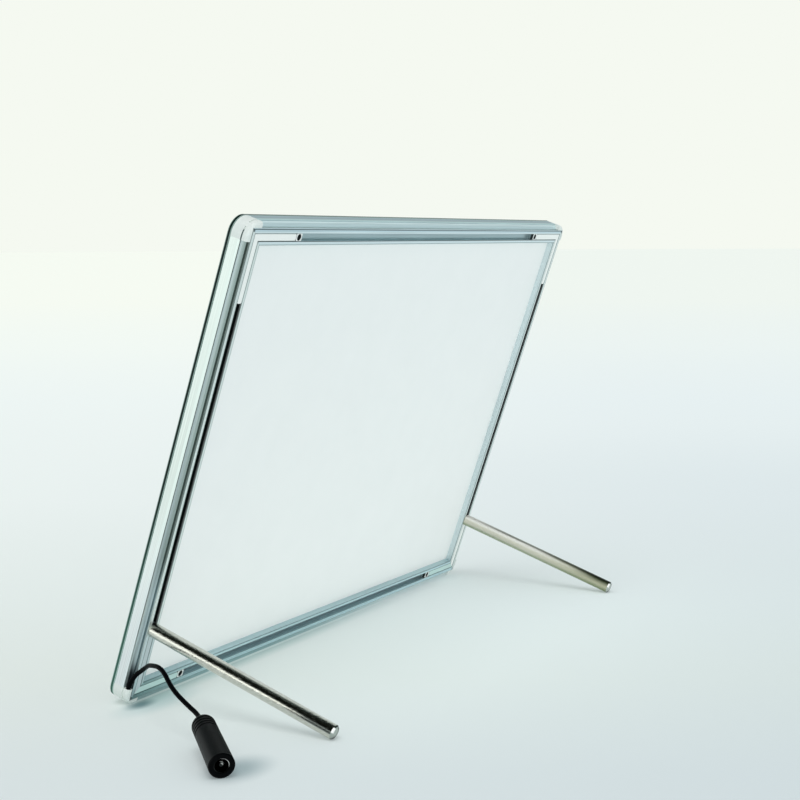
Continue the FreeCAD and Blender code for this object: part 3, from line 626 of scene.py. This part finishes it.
# where the painted highlight arc on the rim and the painted glint on the pin fall, up across the mouth
ARC_UP, GLINT_UP = (1.0, 1.9), (0.1, 0.5)
NICKEL_TONES, NICKEL_PAINTED_SHADE = ((0.4, 0.4, 0.39), (0.5, 0.5, 0.49)), (0.02, 0.022, 0.022)


def socket_finish():
    """Moulded black with a fine grain and a painted sheen, stronger on the side turned away from the scene's
    right.
    """
    made = grained("socket_black", (0.0008, 0.001, 0.0012), (0.002, 0.0025, 0.003), 0.4, 1600, 0.5)
    tree = made.node_tree
    turn = vector_maths(tree, "DOT_PRODUCT", add(tree, "NewGeometry").outputs["Normal"], SCENE_RIGHT)
    painted_sheen = add(tree, "MapRange", {"Value": turn, "From Min": SOCKET_TURN[0], "From Max": SOCKET_TURN[1],
                                   "To Min": SOCKET_PAINTED_SHEEN[0], "To Max": SOCKET_PAINTED_SHEEN[1]})
    connect(tree, tree.nodes["Principled BSDF"], {"Specular IOR Level": painted_sheen.outputs["Result"]})
    return made


def contact_finish():
    """Nickel with painted shade down in the mouth, a painted highlight arc on the rim and a painted glint on
    the pin.
    """
    made, tree, shader = finish("contact_nickel", 0.12, 1.0)
    where = add(tree, "TexCoord").outputs["Object"]
    offset = vector_maths(tree, "SUBTRACT", where, MOUTH_AT * MM)
    up = vector_maths(tree, "DOT_PRODUCT", offset, Vector(MOUTH_UP) / MM)
    off_axis = vector_maths(tree, "LENGTH", vector_maths(tree, "CROSS_PRODUCT", offset, MOUTH_AXIS / MM))
    pin = rise(tree, off_axis, *PIN_WITHIN)
    painted_highlight = maths(tree, "ADD", product(tree, pin, rise(tree, up, *GLINT_UP)),
                product(tree, inverse(tree, pin), rise(tree, up, *ARC_UP)))
    grain = use(tree, GRAIN, {"Scale": 2500.0, "Strength": 0.1})
    nickel = mixed(tree, grain["Tone"], *NICKEL_TONES)
    connect(tree, shader, {"Base Color": mixed(tree, painted_highlight, NICKEL_PAINTED_SHADE, nickel), "Normal": grain["Normal"]})
    return made


# ---------------------------------------------------------------- all finishes
# dark and light tone, roughness, the grain's scale and strength, and how metallic it is
GRAINED = {
    "white_panel": ((0.90, 0.925, 0.915), (0.94, 0.96, 0.95), 0.55, 60, 0.02),
    "reflector_white": ((0.9, 0.91, 0.9), (0.94, 0.95, 0.94), 0.5, 700, 0.05),
    "diffuser_white": ((0.88, 0.9, 0.9), (0.92, 0.93, 0.93), 0.6, 700, 0.05),
    "poster_white": ((0.86, 0.87, 0.86), (0.9, 0.91, 0.9), 0.5, 500, 0.03),
    "board_white": ((0.8, 0.82, 0.8), (0.87, 0.88, 0.86), 0.4, 1500, 0.1),
    "chip_yellow": ((0.85, 0.74, 0.25), (0.93, 0.85, 0.4), 0.3, 2500, 0.1),
    "ribbon_red_black": ((0.03, 0.01, 0.01), (0.35, 0.03, 0.03), 0.45, 1200, 0.1),
    "mask_black": ((0.02, 0.025, 0.025), (0.032, 0.036, 0.036), 0.4, 1500, 0.05),
    "magnet_nickel": ((0.62, 0.61, 0.58), (0.74, 0.73, 0.7), 0.22, 1500, 0.1, 1.0),
    "disc_steel": ((0.5, 0.5, 0.5), (0.62, 0.62, 0.61), 0.35, 1500, 0.1, 1.0),
    "cable_black": ((0.0008, 0.001, 0.0015), (0.002, 0.0025, 0.003), 0.3, 900, 0.1),
    "insulator_black": ((0.004, 0.005, 0.005), (0.009, 0.01, 0.01), 0.5, 2500, 0.2),
    "guide_acrylic": ((0.9, 0.98, 0.95), (0.96, 1.0, 0.98), 0.05, 400, 0.02),
}
OTHER_SOCKETS = {
    "cable_black": {"Specular_IOR_Level": 0.02},
    "insulator_black": {"Specular_IOR_Level": 0.1},
    "guide_acrylic": {"Transmission_Weight": 1.0, "IOR": 1.49},
}
FINISHES = {name: grained(name, *numbers, **OTHER_SOCKETS.get(name, {}))
            for name, numbers in GRAINED.items()}
FINISHES.update(satin_aluminium=rail_finish(), white_plastic=white_finish(), nut_steel=nut_finish(),
                front_acrylic=front_finish(), rod_chrome=rod_finish(), socket_black=socket_finish(),
                contact_nickel=contact_finish())
for entry in frame["record"]["subparts"]:
    node = frame["nodes"][entry["node"]]
    node.data.materials.clear()
    node.data.materials.append(FINISHES[entry["material_slot"]])
lead.data.materials.append(FINISHES["cable_black"])

# ---------------------------------------------------------------- floor
FLOOR_R = 30.0
SCENE_AWAY = (-0.87, -0.49, 0.0)
# distance from the object away from the camera, and the paper's colour there with a painted light falloff,
# darker close by
FLOOR_TONES_AND_PAINTED_FALLOFF = ((-0.204, (0.592, 0.643, 0.640)), (-0.07, (0.630, 0.679, 0.650)),
               (0.086, (0.658, 0.708, 0.688)), (0.425, (0.700, 0.745, 0.730)),
               (1.16, (0.725, 0.771, 0.755)), (2.1, (0.757, 0.795, 0.757)),
               (4.2, (0.785, 0.81, 0.745)), (6.0, (0.787, 0.812, 0.745)))
TONES_BETWEEN = (-0.3, 6.1)
# painted shade: the paper is a little darker towards the right, most of all close by
FAR_SIDE = (-0.35, 0.35)
CLOSE_BY = (0.95, 0.4)
SIDE_PAINTED_SHADES = ((0.94, 0.955, 0.98), (0.885, 0.91, 0.945))
# painted shadow on the paper under and behind the standing side, broken by a painted pale reflection line,
# at places along y in mm
PAINTED_SHADOW_BY_RAIL = ((-48.9, (0.5, 0.66, 0.68)), (-48.3, (1.0, 1.05, 1.04)), (-47.0, (1.0, 1.05, 1.04)),
                 (-46.2, (0.72, 0.83, 0.82)), (-43.0, (0.84, 0.91, 0.9)), (-38.0, (1.0, 1.0, 1.0)))
BY_RAIL_BETWEEN = (-0.05, -0.035)        # in m, as are the limits below
BESIDE_RAIL = (("X", -0.07, 0.148, 0.006), ("X", -0.12, 0.06), ("Y", -0.053, -0.051))
# painted soft contact shadows, in mm: centre, reach and darkest tone
FLOOR_PAINTED_SHADOWS = (((150, -43.5, 0), (12, 6.5, 1000), (0.36, 0.45, 0.48)),
                ((142, -40, 0), (35, 14, 1000), (0.74, 0.84, 0.85)),
                ((197, 42, 0), (22, 15, 1000), (0.55, 0.62, 0.64)))
SHADE_FADE = (1.0, 0.1)
# painted light: the paper glows a little in its own colour
FLOOR_PAINTED_GLOW = 0.3
# painted reflection: what glossy rays see of the floor in front of the object
FLOOR_PAINTED_REFLECTION = (1.5, 1.57, 1.53)         # how bright the floor in front of the object is mirrored
MIRRORED_FROM = (-0.17, -0.3)


# paper with painted light: a falloff away from the object, painted shade and shadows, a painted glow, and a
# painted bright reflection where it is mirrored
def floor_paper():
    made, tree, shader = finish("floor_paper", 0.75, Specular_IOR_Level=0.0, Emission_Strength=FLOOR_PAINTED_GLOW)
    where = add(tree, "TexCoord").outputs["Object"]
    away, aside = (vector_maths(tree, "DOT_PRODUCT", where, direction)
                   for direction in (SCENE_AWAY, SCENE_RIGHT))
    paper = ramp(tree, away, *TONES_BETWEEN, FLOOR_TONES_AND_PAINTED_FALLOFF)
    side_shade = mixed(tree, rise(tree, away, *CLOSE_BY), *SIDE_PAINTED_SHADES)
    paper = shaded(tree, paper, rise(tree, aside, *FAR_SIDE), side_shade)

    place = add(tree, "SeparateXYZ", {0: where}).outputs
    # painted shadow along the standing side, with a painted pale reflection line
    lines = ramp(tree, place["Y"], *BY_RAIL_BETWEEN, [(along * MM, tone) for along, tone in PAINTED_SHADOW_BY_RAIL])
    paper = shaded(tree, paper, region(tree, place, *BESIDE_RAIL), lines)
    for centre, reach, darkest in FLOOR_PAINTED_SHADOWS:
        offset = vector_maths(tree, "SUBTRACT", where, Vector(centre) * MM)
        spread = vector_maths(tree, "DIVIDE", offset, Vector(reach) * MM)
        near = rise(tree, vector_maths(tree, "LENGTH", spread), *SHADE_FADE)
        paper = shaded(tree, paper, near, darkest)
    connect(tree, shader, {"Base Color": paper, "Emission Color": paper})

    painted_reflection = add(tree, "Emission", {"Color": (*FLOOR_PAINTED_REFLECTION, 1)})
    ray = add(tree, "LightPath").outputs
    mirrored = product(tree, ray["Is Glossy Ray"], inverse(tree, ray["Is Transmission Ray"]),
                       rise(tree, away, *MIRRORED_FROM))
    mix_at_output(tree, mirrored, shader, painted_reflection)
    return made


def floor():
    mesh = bpy.data.meshes.new("floor")
    shape = bmesh.new()
    bmesh.ops.create_circle(shape, cap_ends=True, segments=96, radius=FLOOR_R)
    shape.to_mesh(mesh)
    shape.free()
    piece = bpy.data.objects.new("floor", mesh)
    bpy.context.scene.collection.objects.link(piece)
    piece.data.materials.append(floor_paper())


floor()

# ---------------------------------------------------------------- world and lamps
BACKGROUND = (0.913, 0.947, 0.879)
AMBIENT = (0.5, 0.52, 0.525)
STUDIO_LIGHT = (1.55, 1.62, 1.58)
STUDIO_MIDDLE = (0.5, 0.59, 0.6)
STUDIO_DARK = (0.012, 0.015, 0.012)
RIGHT_DARK_FROM, LEFT_DARK_FROM = (0.3, 0.48), (0.55, 0.9)     # heights where the mirrored room turns dark
TOWARDS_LEFT = (0.1, 0.4)


def studio():
    world = bpy.data.worlds.new("world")
    bpy.context.scene.world = world
    world.use_nodes = True
    world.cycles.sampling_method = "NONE"
    tree = world.node_tree
    ray = add(tree, "LightPath").outputs
    aside, _, height = add(tree, "SeparateXYZ", {0: add(tree, "TexCoord").outputs["Generated"]}).outputs
    right = mixed(tree, rise(tree, height, *RIGHT_DARK_FROM), STUDIO_LIGHT, STUDIO_DARK)
    left = mixed(tree, rise(tree, height, *LEFT_DARK_FROM), STUDIO_MIDDLE, STUDIO_DARK)
    mirrored = mixed(tree, rise(tree, maths(tree, "MULTIPLY", aside, -1), *TOWARDS_LEFT), right, left)
    seen = mixed(tree, ray["Is Glossy Ray"], AMBIENT, mirrored)
    plain = maths(tree, "MAXIMUM", ray["Is Camera Ray"], ray["Is Transmission Ray"])
    connect(tree, tree.nodes["Background"], {"Color": mixed(tree, plain, seen, BACKGROUND)})


studio()


def lamp(name, toward, strength, softness, shadow=True):
    data = bpy.data.lights.new(name, "SUN")
    data.energy = strength
    data.angle = math.radians(softness)
    data.use_shadow = shadow
    piece = bpy.data.objects.new(name, data)
    piece.rotation_euler = (-Vector(toward)).to_track_quat("-Z", "Y").to_euler()
    piece.visible_glossy = False
    bpy.context.scene.collection.objects.link(piece)


lamp("overhead", (0.3, 0.1, 1.0), 0.95, 40)
lamp("fill", (0.55, 0.85, 0.2), 1.1, 60, shadow=False)
bpy.context.scene.view_settings.view_transform = "Standard"

bpy.context.view_layer.update()
